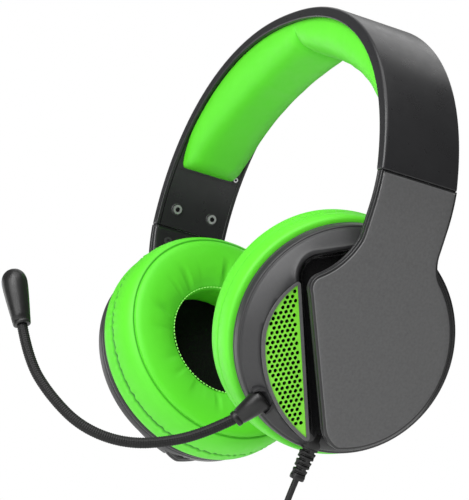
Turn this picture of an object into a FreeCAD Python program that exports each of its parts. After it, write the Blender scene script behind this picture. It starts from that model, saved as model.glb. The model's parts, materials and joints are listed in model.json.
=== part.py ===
import FreeCAD, Part
import math
import os

from FreeCAD import Placement, Rotation, Vector

# Over-ear gaming headset with a boom microphone. Millimetres.
# +Z up, +X towards the wearer's left ear, -Y the way the wearer looks.
# The origin is the middle of the headband pad's underside, where the headset rests on a head.

# Headband arch
HALF_WIDTH = 100.5        # outer half width where the arch is widest
RISE = 96.3               # outer height above the arch's centre
ARCH_POWER = 2.2          # superellipse power: 2 is an ellipse
BAND_WIDTH = 36.0         # along Y
BAND_DEPTH = 4.8          # outer face to the rims' inner edge
SKIN = 1.2                # the shell's outer wall
RIM = 2.0                 # the shell's side walls
PAD_DEPTH = 11.0          # pad crown below the rims, at the middle seam
ARCH_Z = -(RISE - BAND_DEPTH - PAD_DEPTH)
SEAM_RISE = 12.4          # the band's lower ends, above the arch's centre
COVER_RISE = 38.5         # upper ends of the slider covers, above the arch's centre
COVER_DEPTH = 1.1
PAD_RISE = 39.6           # lower ends of the pads
PAD_WIDTH = 31.0
SPRING_HALF = 7.0         # half width of the spring strip
LINER_OUT = 3.4           # the liner's face towards the shell, from the outer face
TRIM_GAP = 0.1            # clearance of the trim between the shell's side walls
COVER_SCREWS = [(21.8, -9.6), (21.8, 8.5)]        # rise above the arch's centre, y
LINER_SCREW = (42.6, 14.2)
LINER_SCREW_ROOM = 1.8    # radius of the notch that the pads leave for its head

# Screws: head radius, head height, shank radius, shank length
COVER_SCREW = (2.1, 0.9, 0.79, 3.0)
SMALL_SCREW = (1.1, 0.5, 0.7, 1.9)
ARM_SCREW = (1.9, 0.8, 0.9, 2.6)
CUP_SCREW = (1.8, 0.8, 0.79, 4.2)
SOCKET_SHARE = 0.5        # hexagonal socket, as a share of the head's radius
SOCKET_DEPTH = 0.5

# Ear side: the frame of one ear is (u back, v up, w outward)
EAR = Vector(64.34, -2.5, ARCH_Z - 49.8)
TILT = 16.9               # the cups' lower edges lean in by this angle
PIVOT_W = 10.5            # height of the gimbal axes
LEFT_TOE_IN = 6.1         # the left cup's swivel as it rests
RIGHT_TOE_IN = 0.8

# Arm: neck and round end plate
ARM_TOP = 18.5            # outer face
ARM_DEPTH = 4.5
ARM_WALL = 1.6
NECK_FRONT = -15.5
NECK_BACK = 20.5
NECK_BEND_V = 53.6        # the neck curves towards the band above here
NECK_BEND_R = 55.6
DISC_U = -4.0
DISC_V = 0.6
DISC_R = 43.2
PLATE_DEPTH = 1.2         # the inner plate that closes the arm
SEAM_GAP = 0.25           # between the arm and the band's lower end
TONGUE_LOW = 3.0          # the tongue reaches this far into the arm, below the seam
TONGUE_RISE = 42.0        # its upper end, above the arch's centre
TONGUE_INSET = 1.75       # its middle, from the band's outer face
TONGUE_HALF = 6.0         # half width
TONGUE_THICK = 0.8
ARM_SCREWS = [(-8.3, 62.0), (-17.0, 12.0), (22.0, 12.0), (4.0, -30.0)]

# Gimbal
LUG_REACH = 11.0          # the lugs, from the gimbal's centre
LUG_HALF = 1.5            # half thickness of a lug
LUG_WIDE = 3.5            # half width of a lug
ARM_LUG_LOW = 8.4
CUP_LUG_TOP = 12.3
PIN_R = 1.2
BORE_R = 1.25
RING_OUT = 8.6            # half side of the gimbal's square ring
RING_IN = 5.2

# Cup shell
CUP_R = 47.0
CUP_BACK = -3.0           # the shell's open edge
CUP_FLAT = 10.5           # raised front face
CUP_FLAT_R = 36.6
CUP_DOME = [(0, 0), (0.3, 2.2), (1.3, 3.7), (4.0, 6.2), (8.0, 9.4)]      # in from the rim, height
SCOOP_W = 6.5             # floor of the scoop under the arm
CUP_WALL = 1.8
CUP_SCREWS = [(35.0, 19.0), (35.0, -19.0), (-16.0, -36.6), (-16.0, 36.6)]
BAFFLE_R = 45.0
BAFFLE_LOW = -4.4
BAFFLE_TOP = -2.0
DRIVER_R = 20.0
CLOTH_R = 30.0
GRILLE_TOP = 10.1
GRILLE_DEPTH = 0.8
GRILLE_PITCH = 2.2
GRILLE_HOLE_R = 0.82
GRILLE_TURN = -6.0        # the rows of holes run nearly upright, turned by this
GRILLE_RIM = 1.25         # width of the frame round the grille

# Ear cushion
CUSHION_R = 49.3
CUSHION_HOLE_R = 24.5
CUSHION_BACK = -4.6
CUSHION_FACE = -28.8
RING_INNER_R = 31.0       # the stiff ring that holds the cushion's skin
RING_DEPTH = 0.6

# Microphone boom
MIC_HUB = Vector(-29.5, -32.5, 6.0)   # centre of the boom's ball, in the cup's frame
BALL_R = 4.6
SOCKET_R = 5.0
SOCKET_OUTER_R = 6.2
SLEEVE_R = 4.8
SLEEVE_END_R = 3.1
SLEEVE_REACH = 24.0       # length that the sleeve's sweep is cleared over
BOOM_GAP = 0.4            # clearance of the sleeve in the cup
HINGE_R = 1.2             # the hinge pin through the ball
HINGE_BORE_R = 1.25
GOOSE_R = 2.1
BOOM_DOWN = 20.0          # swing below the rest direction
BOOM_UP = 40.0
BOOM_ROUTE = [            # the boom's centre line as it is bent to the wearer's mouth
    Vector(53.3, -37.0, -169.8), Vector(49.4, -45.6, -176.9), Vector(42.6, -58.0, -184.2),
    Vector(33.4, -74.4, -188.6), Vector(23.7, -90.2, -185.0), Vector(14.3, -102.0, -174.2),
    Vector(5.7, -110.3, -161.2), Vector(0.4, -113.7, -146.9),
]

# Cable
CABLE_R = 1.3
RELIEF_U = -1.6
RELIEF_W = 2.6
COIL_R = 15.5             # middle of the turns
COIL_DEPTH = 5.2          # half of the winding's radial depth
COIL_HALF = 3.9           # half of the winding's width
COIL_CENTRE = Vector(42.0, -6.2, -253.0)
TAIL_ROUTE = [            # from the coil's lower side straight down to the plug
    COIL_CENTRE + Vector(-16.6, -1.3, -11.8),
    COIL_CENTRE + Vector(-17.0, -1.4, -17.0),
    COIL_CENTRE + Vector(-16.9, -1.5, -23.0),
]
TIE_ANGLE = 50.0          # the tie's place on the coil, up from +X
TIE_WIDTH = 5.0
TIE_THICK = 0.9
PLUG_BODY = 24.0
PLUG_TAPER = 6.0
PLUG_BODY_R = 3.6
PLUG_PIN = 14.0
PLUG_NOSE = 1.2
PLUG_R = 1.75
RELIEF_R = 3.2            # the strain relief's radius at the cup
RELIEF_END_R = 2.1
RELIEF_TOP = -38.5        # v of its flange and of its lower end
RELIEF_END = -60.0
FLANGE_R = 4.6
FLANGE_DEPTH = 1.4

PARTS = {}


def keep(node, shape):
    """Stores a node's solids."""
    PARTS[node] = shape


def box(x0, x1, y0, y1, z0, z1):
    return Part.makeBox(x1 - x0, y1 - y0, z1 - z0, Vector(x0, y0, z0))


def cylinder(r, start, end):
    axis = end - start
    return Part.makeCylinder(r, axis.Length, start, axis)


def cone(r0, r1, start, end):
    axis = end - start
    return Part.makeCone(r0, r1, axis.Length, start, axis)


def face_of(*edges):
    return Part.Face(Part.Wire(Part.__sortEdges__(list(edges))))


def line(a, b):
    return Part.LineSegment(a, b).toShape()


def arc(a, middle, b):
    return Part.Arc(a, middle, b).toShape()


# ---------------------------------------------------------------- headband

def arch_point(inset, t):
    """A point of the arch, inset from its outer face, at angle t in degrees from +X."""
    c = math.cos(math.radians(t))
    s = math.sin(math.radians(t))
    x = (HALF_WIDTH - inset) * math.copysign(abs(c) ** (2 / ARCH_POWER), c)
    z = (RISE - inset) * abs(s) ** (2 / ARCH_POWER)
    return Vector(x, 0, ARCH_Z + z)


def arch_angle(inset, rise):
    """The angle at which the inset arch has this height above its centre."""
    return math.degrees(math.asin((rise / (RISE - inset)) ** (ARCH_POWER / 2)))


def arch_curve(inset, t0, t1, steps=18):
    points = [arch_point(inset, t0 + (t1 - t0) * i / steps) for i in range(steps + 1)]
    curve = Part.BSplineCurve()
    curve.interpolate(points)
    return curve.toShape(), points[0], points[-1]


def arch_band(outer, inner, rise, y0, y1, upper=None):
    """A strip of the arch between two insets, from one rise over the top, or up to another rise."""
    far = [180 - arch_angle(inset, rise) for inset in (outer, inner)]
    if upper is not None:
        far = [arch_angle(inset, upper) for inset in (outer, inner)]
    top, a, b = arch_curve(outer, arch_angle(outer, rise), far[0])
    low, c, d = arch_curve(inner, arch_angle(inner, rise), far[1])
    strip = face_of(top, line(b, d), low, line(c, a))
    strip.translate(Vector(0, y0, 0))
    return strip.extrude(Vector(0, y1 - y0, 0))


def mirrored(shape):
    return shape.mirror(Vector(0, 0, 0), Vector(1, 0, 0))


def across(inset0, inset1, rise, y):
    """Two points on the arch's normal, at a rise, between two insets."""
    t = arch_angle(0, rise)
    outer = arch_point(0, t)
    along = arch_point(0, t + 0.5) - arch_point(0, t - 0.5)
    inward = Vector(along.z, 0, -along.x).normalize()
    if inward.x > 0:
        inward = -inward
    outer.y = y
    return outer + inward * inset0, outer + inward * inset1


def band_shell():
    half = BAND_WIDTH / 2
    shell = arch_band(0, BAND_DEPTH, SEAM_RISE, -half, half)
    hollow = arch_band(SKIN, BAND_DEPTH + 1, SEAM_RISE - 1, -half + RIM, half - RIM)
    shell = shell.cut(hollow)
    for rise, y in COVER_SCREWS:
        boss = cylinder(2.3, *across(0.6, BAND_DEPTH - 1.3, rise, y))
        hole = cylinder(0.8, *across(SKIN + 0.4, BAND_DEPTH, rise, y))
        boss = boss.cut(hole)
        shell = shell.fuse([boss, mirrored(boss)])
    return shell


def band_trim():
    """The spring strip, the wire and the liner between the shell and the pads."""
    inside = BAND_WIDTH / 2 - RIM - TRIM_GAP
    spring_rise = COVER_RISE + 4
    keep("band_spring", arch_band(1.6, 2.4, spring_rise, -SPRING_HALF, SPRING_HALF))
    keep("crossover_wire", arch_band(1.6, 2.6, spring_rise, SPRING_HALF + 2, SPRING_HALF + 4.6))
    liner = arch_band(LINER_OUT, BAND_DEPTH - 0.2, COVER_RISE + TRIM_GAP, -inside, inside)
    rise, y = LINER_SCREW
    hole = cylinder(SMALL_SCREW[2] + 0.05, *across(LINER_OUT - 0.6, BAND_DEPTH + 1, rise, y))
    keep("band_liner", liner.cut([hole, mirrored(hole)]))


def screw(sizes, seat, into):
    """A screw whose head rests at seat, driven along into, with a hexagonal socket."""
    head_r, head_h, shank_r, length = sizes
    body = cylinder(head_r, seat - into * head_h, seat)
    shank = cylinder(shank_r, seat, seat + into * length)
    corners = [Vector(head_r * SOCKET_SHARE, 0, 0)]
    for _ in range(6):
        corners.append(Rotation(Vector(0, 0, 1), 60).multVec(corners[-1]))
    socket = Part.Face(Part.makePolygon(corners)).extrude(Vector(0, 0, SOCKET_DEPTH))
    socket.Placement = Placement(seat - into * head_h, Rotation(Vector(0, 0, 1), into))
    return body.fuse(shank).cut(socket)


def band_screw(sizes, rise, y):
    """A screw through the band's inner cover, driven outwards."""
    seat, deep = across(BAND_DEPTH + 0.02, BAND_DEPTH - 3, rise, y)
    return screw(sizes, seat, (deep - seat).normalize())


def slider_covers():
    inside = BAND_WIDTH / 2 - RIM - TRIM_GAP
    face = BAND_DEPTH - 0.1
    cover = arch_band(face - COVER_DEPTH, face, SEAM_RISE + 0.2, -inside, inside, COVER_RISE)
    screws = []
    for rise, y in COVER_SCREWS:
        cover = cover.cut(cylinder(1.2, *across(2, BAND_DEPTH + 1, rise, y)))
        screws.append(band_screw(COVER_SCREW, rise, y))
    keep("left_slider_cover", cover)
    keep("right_slider_cover", mirrored(cover))
    keep("slider_cover_screws", Part.makeCompound(screws + [mirrored(s) for s in screws]))
    small = band_screw(SMALL_SCREW, *LINER_SCREW)
    keep("liner_screws", Part.makeCompound([small, mirrored(small)]))


def pad_section(t, depth, width):
    """The pad's cross-section at angle t: flat against the liner and crowned towards the head."""
    base = arch_point(BAND_DEPTH + 0.1, t)
    deep = arch_point(BAND_DEPTH + depth, t)
    side = Vector(0, width / 2, 0)
    inward = deep - base
    edge = inward * 0.22
    return Part.Wire([
        line(base - side, base + side),
        line(base + side, base + side + edge),
        arc(base + side + edge, deep, base - side + edge),
        line(base - side + edge, base - side),
    ])


def pad_half():
    low = arch_angle(BAND_DEPTH, PAD_RISE)
    angles = [low + (89.7 - low) * i / 6 for i in range(7)]
    depths = [5.0, 9.0, 12.6, 14.6, 15.0, 13.6, PAD_DEPTH]
    wires = [pad_section(t, d, PAD_WIDTH) for t, d in zip(angles, depths)]
    return Part.makeLoft(wires, True, False)


def headband():
    keep("band_shell", band_shell())
    band_trim()
    slider_covers()
    notch = cylinder(LINER_SCREW_ROOM, *across(BAND_DEPTH, BAND_DEPTH + PAD_DEPTH, *LINER_SCREW))
    pad = pad_half().cut(notch)
    keep("left_pad", pad)
    keep("right_pad", mirrored(pad))


# ---------------------------------------------------------------- arms

def ear_place():
    """From (u, v, w) to the headset's frame, on the left side."""
    lean = math.radians(TILT)
    u = Vector(0, 1, 0)
    v = Vector(math.sin(lean), 0, math.cos(lean))
    w = Vector(math.cos(lean), 0, -math.sin(lean))
    return Placement(EAR, Rotation(u, v, w, "ZXY"))


def cup_place(toe_in):
    """From the cup's (u, v, w) to the headset's frame, turned about the gimbal's upright axis."""
    turn = Placement(Vector(0, 0, 0), Rotation(Vector(0, 1, 0), -toe_in), Vector(0, 0, PIVOT_W))
    return ear_place().multiply(turn)


def placed(shape, place):
    moved = shape.copy()
    moved.Placement = place.multiply(moved.Placement)
    return moved


def arm_outline():
    """The outline of the neck and its round end plate, with the straight chord at the front."""
    p = [
        Vector(NECK_BACK, 80, 0), Vector(NECK_FRONT, 80, 0), Vector(NECK_FRONT, 41.5, 0),
        Vector(-19.4, 32.3, 0), Vector(-28.6, 22.8, 0), Vector(-30.9, 19.4, 0), Vector(-29.7, 14.6, 0),
        Vector(-6.4, -34.2, 0), Vector(-3.2, -38.9, 0), Vector(2.6, DISC_V - 42.7, 0),
        Vector(DISC_U + DISC_R, DISC_V, 0), Vector(24.0, 33.45, 0), Vector(21.6, 37.6, 0),
        Vector(NECK_BACK, 45, 0),
    ]
    return face_of(
        line(p[0], p[1]), line(p[1], p[2]), arc(p[2], p[3], p[4]), arc(p[4], p[5], p[6]),
        line(p[6], p[7]), arc(p[7], p[8], p[9]), arc(p[9], p[10], p[11]),
        arc(p[11], p[12], p[13]), line(p[13], p[0]),
    )


def arm_layer(inset0, inset1):
    """The arm's sheet between two depths below its outer face: flat, then curved up to the band."""
    def side(inset):
        top = ARM_TOP - inset
        r = NECK_BEND_R - inset
        centre_w = ARM_TOP - NECK_BEND_R
        bend = [math.radians(a) for a in (0, TILT / 2, TILT)]
        turn = [Vector(-60, NECK_BEND_V + r * math.sin(a), centre_w + r * math.cos(a)) for a in bend]
        flat = Vector(-60, -60, top)
        return flat, turn

    flat0, turn0 = side(inset0)
    flat1, turn1 = side(inset1)
    profile = face_of(
        line(flat0, turn0[0]), arc(*turn0), line(turn0[2], turn1[2]),
        arc(turn1[2], turn1[1], turn1[0]), line(turn1[0], flat1), line(flat1, flat0),
    )
    return profile.extrude(Vector(120, 0, 0))


def arm_prism(shrink):
    outline = arm_outline()
    if shrink:
        outline = outline.makeOffset2D(-shrink)
    return outline.extrude(Vector(0, 0, 60))


def slide_axis():
    """The straight line along which the tongue slides: a chord of the arch near its end."""
    low = arch_point(TONGUE_INSET, arch_angle(TONGUE_INSET, SEAM_RISE))
    high = arch_point(TONGUE_INSET, arch_angle(TONGUE_INSET, TONGUE_RISE))
    return low, (low - high).normalize()


def arm_lugs():
    """The two lugs that hold the gimbal's pins."""
    lug = box(-LUG_HALF, LUG_HALF, -LUG_WIDE, LUG_WIDE, ARM_LUG_LOW, ARM_TOP - ARM_DEPTH + 0.3)
    lug = lug.cut(cylinder(BORE_R, Vector(-9, 0, PIVOT_W), Vector(9, 0, PIVOT_W)))
    lugs = []
    for u in (-LUG_REACH, LUG_REACH):
        ear = lug.copy()
        ear.translate(Vector(u, 0, 0))
        lugs.append(ear)
    return lugs


def arm_floor():
    """The plate that closes the arm's back, with its lugs, and its screws."""
    floor = arm_layer(ARM_DEPTH - PLATE_DEPTH, ARM_DEPTH).common(arm_prism(ARM_WALL + 0.1))
    floor = floor.fuse(arm_lugs())
    screws = []
    bend_r = NECK_BEND_R - ARM_DEPTH
    for u, v in ARM_SCREWS:
        lean = math.asin(max(0, v - NECK_BEND_V) / bend_r)
        into = Vector(0, math.sin(lean), math.cos(lean))
        seat = Vector(u, v, ARM_TOP - NECK_BEND_R + bend_r * math.cos(lean)) - into * 0.05
        floor = floor.cut(cylinder(1.1, seat - into * 2, seat + into * 3))
        screws.append(screw(ARM_SCREW, seat, into))
    return floor, Part.makeCompound(screws)


def tongue_block(thick, half, low, high):
    """A straight block along the slide axis, from low below the seam to high above it."""
    seam, along = slide_axis()
    sheet = box(-thick / 2, thick / 2, -half, half, -low, high)
    return placed(sheet, Placement(seam, Rotation(Vector(0, 0, 1), -along)))


def arm_side():
    place = ear_place()
    spoon = arm_layer(0, ARM_DEPTH).common(arm_prism(0))
    hollow = arm_layer(ARM_WALL, ARM_DEPTH + 1).common(arm_prism(ARM_WALL))
    seam_cut = box(-200, 200, -60, 60, ARCH_Z + SEAM_RISE - SEAM_GAP, ARCH_Z + 60)
    length = (TONGUE_RISE - SEAM_RISE) / abs(slide_axis()[1].z) - 0.4
    slot = tongue_block(TONGUE_THICK + 0.2, TONGUE_HALF + 0.1, TONGUE_LOW + 0.1, 5)
    floor, screws = arm_floor()
    return {
        "arm_cover": placed(spoon.cut(hollow), place).cut(seam_cut).cut(slot),
        "arm_inner_plate": placed(floor, place).cut(seam_cut).cut(slot),
        "arm_screws": placed(screws, place),
        "slider_tongue": tongue_block(TONGUE_THICK, TONGUE_HALF, TONGUE_LOW, length),
    }


def gimbal():
    """The cross-shaped frame that lets a cup tilt and swivel under its arm."""
    low, high = PIVOT_W - 1.5, PIVOT_W + 1.5
    ring = box(-RING_OUT, RING_OUT, -RING_OUT, RING_OUT, low, high)
    ring = ring.cut(box(-RING_IN, RING_IN, -RING_IN, RING_IN, low - 1, high + 1))
    reach = LUG_REACH + LUG_HALF
    pins = []
    for axis in (Vector(1, 0, 0), Vector(0, 1, 0)):
        centre = Vector(0, 0, PIVOT_W)
        for sign in (-1, 1):
            pins.append(cylinder(PIN_R, centre + axis * sign * 7, centre + axis * sign * reach))
    return ring.fuse(pins)


# ---------------------------------------------------------------- cups

def revolved(points):
    """A solid turned about w from (radius, w) points."""
    ring = [Vector(r, 0, w) for r, w in points]
    edges = [line(a, b) for a, b in zip(ring, ring[1:] + ring[:1])]
    return Part.Face(Part.Wire(edges)).revolve(Vector(0, 0, 0), Vector(0, 0, 1), 360)


def crescent(grow):
    """The sound opening's outline: a wide arc at the front, closed by a straight chord."""
    top = Vector(-31.0, 16.0, 0)
    widest = Vector(-37.4, -6.5, 0)
    bottom = Vector(-7.4, -41.6, 0)
    outline = face_of(
        arc(top, Vector(-36.6, 5.4, 0), widest), arc(widest, Vector(-28.3, -26.0, 0), bottom),
        line(bottom, top),
    )
    return outline.makeOffset2D(grow)


def crescent_block(grow, w, depth):
    """The crescent, grown, from a height w outwards."""
    block = crescent(grow).extrude(Vector(0, 0, depth))
    block.translate(Vector(0, 0, w))
    return block


def scoop():
    """The hollow under the arm, with a rounded upper front corner."""
    p = [
        Vector(60, 42, 0), Vector(-4, 42, 0), Vector(-26.2, 30.4, 0), Vector(-31.2, 25.8, 0),
        Vector(-31.6, 19.0, 0), Vector(-5.6, -45.0, 0), Vector(-5.6, -60, 0), Vector(60, -60, 0),
    ]
    outline = face_of(
        line(p[0], p[1]), line(p[1], p[2]), arc(p[2], p[3], p[4]), line(p[4], p[5]),
        line(p[5], p[6]), line(p[6], p[7]), line(p[7], p[0]),
    )
    cutter = outline.extrude(Vector(0, 0, 20))
    cutter.translate(Vector(0, 0, SCOOP_W))
    return cutter


def cup_shell(with_mic):
    dome = [(CUP_R - inward, w) for inward, w in CUP_DOME]
    outside = revolved(
        [(0, CUP_BACK), (CUP_R - 0.6, CUP_BACK), (CUP_R, CUP_BACK + 0.8)] + dome
        + [(CUP_FLAT_R, CUP_FLAT), (0, CUP_FLAT)]
    )
    inner_r = CUP_R - CUP_WALL
    shrink = inner_r / CUP_R
    inner_top = CUP_FLAT - CUP_WALL
    inner_dome = [(r * shrink, w * inner_top / CUP_FLAT) for r, w in dome]
    inside = revolved(
        [(0, CUP_BACK - 1), (inner_r, CUP_BACK - 1)] + inner_dome
        + [(CUP_FLAT_R * shrink, inner_top), (0, inner_top)]
    )
    low_roof = scoop()
    low_roof.translate(Vector(0, 0, -CUP_WALL))
    shell = outside.cut(scoop())
    shell = shell.cut(inside.cut(low_roof))
    lug = box(-LUG_WIDE, LUG_WIDE, -LUG_HALF, LUG_HALF, SCOOP_W - 0.3, CUP_LUG_TOP)
    lug = lug.cut(cylinder(BORE_R, Vector(0, -9, PIVOT_W), Vector(0, 9, PIVOT_W)))
    for v in (-LUG_REACH, LUG_REACH):
        ear = lug.copy()
        ear.translate(Vector(0, v, 0))
        shell = shell.fuse(ear)
    for u, v in CUP_SCREWS:
        boss = cylinder(2.4, Vector(u, v, -1.9), Vector(u, v, 4.4))
        shell = shell.fuse(boss).cut(cylinder(0.8, Vector(u, v, -3), Vector(u, v, 3)))
    shell = shell.cut(crescent_block(GRILLE_RIM + 0.05, CUP_FLAT - 2.2, 8))
    if with_mic:
        socket_seat = Part.makeSphere(SOCKET_OUTER_R + 0.02, MIC_HUB)
        shell = shell.cut([socket_seat, boom_sweep(), relief_hole()])
    return shell


def boom_out():
    """The sleeve's direction at rest, in the cup's frame."""
    end = cup_place(LEFT_TOE_IN).inverse().multVec(BOOM_ROUTE[0])
    return (end - MIC_HUB).normalize(), end


def boom_sweep():
    """The space that the sleeve needs over its whole swing, with clearance."""
    out, end = boom_out()
    tip = MIC_HUB + out * SLEEVE_REACH
    sleeve = cone(SLEEVE_R + BOOM_GAP, SLEEVE_END_R + BOOM_GAP, MIC_HUB + out * 0.8, tip)
    solids = []
    for step in range(7):
        turned = sleeve.copy()
        turned.rotate(MIC_HUB, Vector(0, 0, 1), BOOM_DOWN - (BOOM_DOWN + BOOM_UP) * step / 6)
        solids.append(turned)
    return solids[0].fuse(solids[1:])


def relief_line():
    """The strain relief's axis in the cup's frame, from inside the shell to its lower end."""
    return Vector(RELIEF_U + 0.9, RELIEF_TOP, RELIEF_W), Vector(RELIEF_U - 1.3, RELIEF_END, RELIEF_W)


def relief_hole():
    start, end = relief_line()
    return cylinder(RELIEF_R + 0.1, start, start + (end - start) * 0.6)


def grille():
    """The pierced sheet in the crescent opening, with staggered round holes."""
    inner = crescent(-1.0)
    holes = []
    turn = Rotation(Vector(0, 0, 1), GRILLE_TURN)
    for column in range(-24, 2):
        for row in range(-24, 12):
            u = column * GRILLE_PITCH * math.sqrt(3) / 2
            v = (row + (column % 2) / 2) * GRILLE_PITCH
            place = turn.multVec(Vector(u, v, 0))
            if inner.isInside(place, 0.01, True):
                low = place + Vector(0, 0, GRILLE_TOP - GRILLE_DEPTH - 0.5)
                holes.append(Part.makeCylinder(GRILLE_HOLE_R, GRILLE_DEPTH + 1, low))
    sheet = crescent_block(-0.05, GRILLE_TOP - GRILLE_DEPTH, GRILLE_DEPTH)
    return sheet.cut(Part.makeCompound(holes))


def grille_pieces():
    rim = crescent(GRILLE_RIM).cut(crescent(0)).extrude(Vector(0, 0, 2.1))
    rim.translate(Vector(0, 0, CUP_FLAT - 2.0))
    cloth = crescent_block(-0.1, CUP_FLAT - 1.8, 0.4)
    return {"grille": grille(), "grille_frame": rim, "grille_cloth": cloth}


def baffle_and_driver():
    inner = DRIVER_R + 0.1
    plate = revolved([
        (inner, BAFFLE_LOW), (BAFFLE_R, BAFFLE_LOW), (BAFFLE_R, BAFFLE_TOP), (inner, BAFFLE_TOP),
    ])
    screws = []
    for u, v in CUP_SCREWS:
        plate = plate.cut(cylinder(1.0, Vector(u, v, -6), Vector(u, v, 0)))
        plate = plate.cut(cylinder(2.0, Vector(u, v, -6), Vector(u, v, -3.2)))
        screws.append(screw(CUP_SCREW, Vector(u, v, -3.2), Vector(0, 0, 1)))
    basket = revolved([
        (8.2, 1.2), (DRIVER_R - 3, 1.2), (DRIVER_R - 1, -1.4), (DRIVER_R - 1, -4.0), (DRIVER_R, -4.0),
        (DRIVER_R, -0.9), (DRIVER_R - 2.2, 2.2), (8.2, 2.2),
    ])
    magnet = Part.makeCylinder(8.0, 3.0, Vector(0, 0, 1.3))
    diaphragm = revolved([
        (0, -1.6), (7, -2.2), (12, -3.4), (DRIVER_R - 1.2, -3.5), (DRIVER_R - 1.2, -3.2), (12, -3.1),
        (7, -1.9), (0, -1.3),
    ])
    cloth = Part.makeCylinder(CLOTH_R, 0.4, Vector(0, 0, BAFFLE_LOW - 0.5))
    return {
        "baffle": plate, "baffle_screws": Part.makeCompound(screws), "driver_basket": basket,
        "driver_magnet": magnet, "driver_diaphragm": diaphragm, "driver_cloth": cloth,
    }


def cushion():
    """The ear cushion's outer form: a fat ring with rounded shoulders."""
    depth = CUSHION_BACK - CUSHION_FACE
    ring = revolved([
        (CUSHION_HOLE_R, CUSHION_BACK - 0.5), (CUSHION_R - 3, CUSHION_BACK - 0.5),
        (CUSHION_R - 0.8, CUSHION_BACK - 3), (CUSHION_R, CUSHION_FACE + depth * 0.5),
        (CUSHION_R - 1, CUSHION_FACE + 4), (CUSHION_R - 5, CUSHION_FACE + 0.6),
        (37, CUSHION_FACE), (29, CUSHION_FACE + 1.4), (CUSHION_HOLE_R, CUSHION_FACE + 4.2),
    ])
    return ring


def cup_side(with_mic):
    shapes = {"cup_shell": cup_shell(with_mic), "cushion": cushion()}
    shapes.update(grille_pieces())
    shapes.update(baffle_and_driver())
    low, outer = CUSHION_BACK - 0.45, CUSHION_R - 4
    shapes["cushion_ring"] = revolved([
        (RING_INNER_R, low), (outer, low), (outer, low + RING_DEPTH), (RING_INNER_R, low + RING_DEPTH),
    ])
    if with_mic:
        shapes["circuit_board"] = box(24, 36, -12, 12, -1.2, 0)
    return shapes


# ---------------------------------------------------------------- microphone

def rounded_route(points, label):
    """A wire of straight runs joined by tangent arcs as large as the runs allow."""
    edges = []
    start = points[0]
    radii = []
    for before, corner, after in zip(points, points[1:], points[2:]):
        back = before - corner
        on = after - corner
        reach = 0.45 * min(back.Length, on.Length)
        back.normalize()
        on.normalize()
        half_turn = (math.pi - back.getAngle(on)) / 2
        radius = reach / math.tan(half_turn)
        radii.append(radius)
        a = corner + back * reach
        b = corner + on * reach
        towards = (back + on).normalize()
        middle = corner + towards * (radius / math.cos(half_turn) - radius)
        edges.append(line(start, a))
        edges.append(arc(a, middle, b))
        start = b
    edges.append(line(start, points[-1]))
    wire = Part.Wire(edges)
    print(label, "length", round(wire.Length, 1), "radii", [round(r, 1) for r in radii])
    return wire


def tube(points, r, label):
    wire = rounded_route(points, label)
    section = Part.Wire(Part.makeCircle(r, points[0], points[1] - points[0]))
    solid = wire.makePipeShell([section], True, False)
    print(label, "volume ratio", round(solid.Volume / (math.pi * r * r * wire.Length), 4))
    return solid


def hinge_pin(r, low, high):
    """A pin along the boom's hinge axis, from low below the ball's centre to high above it."""
    return Part.makeCylinder(r, high + low, MIC_HUB - Vector(0, 0, low))


def mic_socket():
    """The dark seat in the cup's sloping side that holds the boom's ball on its hinge pin."""
    seat = Part.makeSphere(SOCKET_OUTER_R, MIC_HUB)
    room = Part.makeCylinder(CUP_R - 0.9, 10.3, Vector(0, 0, -1.6))
    above = crescent_block(GRILLE_RIM + 0.15, CUP_FLAT - 2.3, 8)
    seat = seat.common(room).cut([Part.makeSphere(SOCKET_R, MIC_HUB), boom_sweep(), above])
    return seat.fuse(hinge_pin(HINGE_R, SOCKET_OUTER_R - 0.5, BALL_R - 1.6))


def microphone():
    place = cup_place(LEFT_TOE_IN)
    out, end = boom_out()
    root = MIC_HUB + out * 2.4
    sleeve = cone(SLEEVE_R - 0.7, SLEEVE_R, MIC_HUB + out * 1.2, root)
    sleeve = sleeve.fuse(cone(SLEEVE_R, SLEEVE_END_R, root, end + out * 1.5))
    sleeve = Part.makeSphere(BALL_R, MIC_HUB).fuse(sleeve)
    sleeve = placed(sleeve.cut(hinge_pin(HINGE_BORE_R, SOCKET_R + 1, BALL_R - 1.4)), place)
    neck = tube(BOOM_ROUTE, GOOSE_R, "gooseneck")
    keep("mic_socket", placed(mic_socket(), place))
    keep("mic_sleeve", sleeve.cut(neck))
    keep("mic_gooseneck", neck)
    mic_capsule()


def mic_capsule():
    """The tapered housing at the boom's end, with a rounded foam-backed tip."""
    start = BOOM_ROUTE[-1]
    along = (BOOM_ROUTE[-1] - BOOM_ROUTE[-2]).normalize()
    housing = revolved([
        (0, 0), (3.6, 0), (4.4, 8), (5.2, 16), (5.3, 19), (4.8, 21.8), (3.4, 23.6), (1.6, 24.4), (0, 24.5),
    ])
    room = revolved([(0, 12.5), (3.4, 12.5), (3.7, 18), (3.2, 20.6), (0, 21.4)])
    place = Placement(start, Rotation(Vector(0, 0, 1), along))
    keep("mic_housing", placed(housing.cut(room), place))
    keep("mic_element", placed(Part.makeCylinder(3.0, 2.6, Vector(0, 0, 14)), place))


# ---------------------------------------------------------------- cable

def cable_route():
    """From the strain relief down to the top of the coil, in the headset's frame."""
    place = cup_place(LEFT_TOE_IN)
    start, end = relief_line()
    exit_point = place.multVec(end)
    along = (exit_point - place.multVec(start)).normalize()
    return [
        exit_point,
        exit_point + along * 9,
        Vector(43.7, -6.0, -208.0),
        Vector(42.3, -6.3, -220.0),
        COIL_CENTRE + Vector(0, 0, COIL_R + COIL_DEPTH - 0.3),
    ]


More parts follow.
